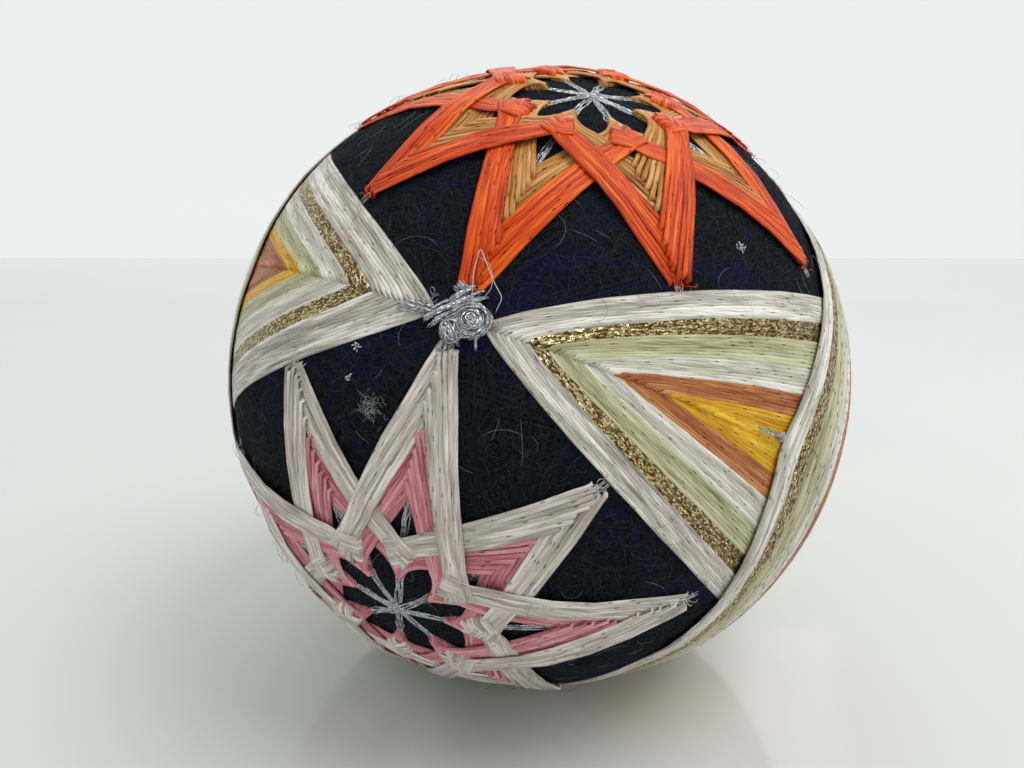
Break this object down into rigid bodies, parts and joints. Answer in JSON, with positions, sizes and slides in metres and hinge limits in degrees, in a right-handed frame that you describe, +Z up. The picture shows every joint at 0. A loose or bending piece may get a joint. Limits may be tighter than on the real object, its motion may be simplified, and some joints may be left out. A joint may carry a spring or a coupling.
{
  "type": "temari ball",
  "caption": "Thread-wound decorative ball embroidered with eight-pointed stars and crossed spindles, resting on a small flat spot.",
  "frame": {"origin": "middle of the flat spot that the ball rests on", "axes": "+Z up; +Y away from the viewer, with the pink star low on the viewer's side and an orange star on top"},
  "size_m": [0.0804, 0.0795, 0.078],
  "materials": {
    "midnight_wool": "matt wound wool, black mottled with navy",
    "silver_thread": "metallic thread",
    "gold_thread": "metallic thread",
    "white_silk": "silky laid thread",
    "coloured_silk": "silky laid thread in pale green, off-white, terracotta and yellow",
    "orange_silk": "silky laid thread",
    "tan_silk": "silky laid thread",
    "cream_silk": "silky laid thread",
    "pink_silk": "silky laid thread"
  },
  "bodies": {
    "root": {"guide_orange_top": "silver_thread", "guide_orange_under": "silver_thread", "guide_pink_back": "silver_thread", "guide_pink_front": "silver_thread", "knot_back": "silver_thread", "knot_front": "silver_thread", "knot_top": "silver_thread", "knot_under": "silver_thread", "spindle_left_lower_gold": "gold_thread", "spindle_left_lower_heart": "coloured_silk", "spindle_left_lower_white": "white_silk", "spindle_left_upper_gold": "gold_thread", "spindle_left_upper_heart": "coloured_silk", "spindle_left_upper_white": "white_silk", "spindle_right_lower_gold": "gold_thread", "spindle_right_lower_heart": "coloured_silk", "spindle_right_lower_white": "white_silk", "spindle_right_upper_gold": "gold_thread", "spindle_right_upper_heart": "coloured_silk", "spindle_right_upper_white": "white_silk", "star_orange_top_inner": "tan_silk", "star_orange_top_outer": "orange_silk", "star_orange_under_inner": "tan_silk", "star_orange_under_outer": "orange_silk", "star_pink_back_inner": "pink_silk", "star_pink_back_outer": "cream_silk", "star_pink_front_inner": "pink_silk", "star_pink_front_outer": "cream_silk", "wound_ball": "midnight_wool"}
  },
  "joints": []
}
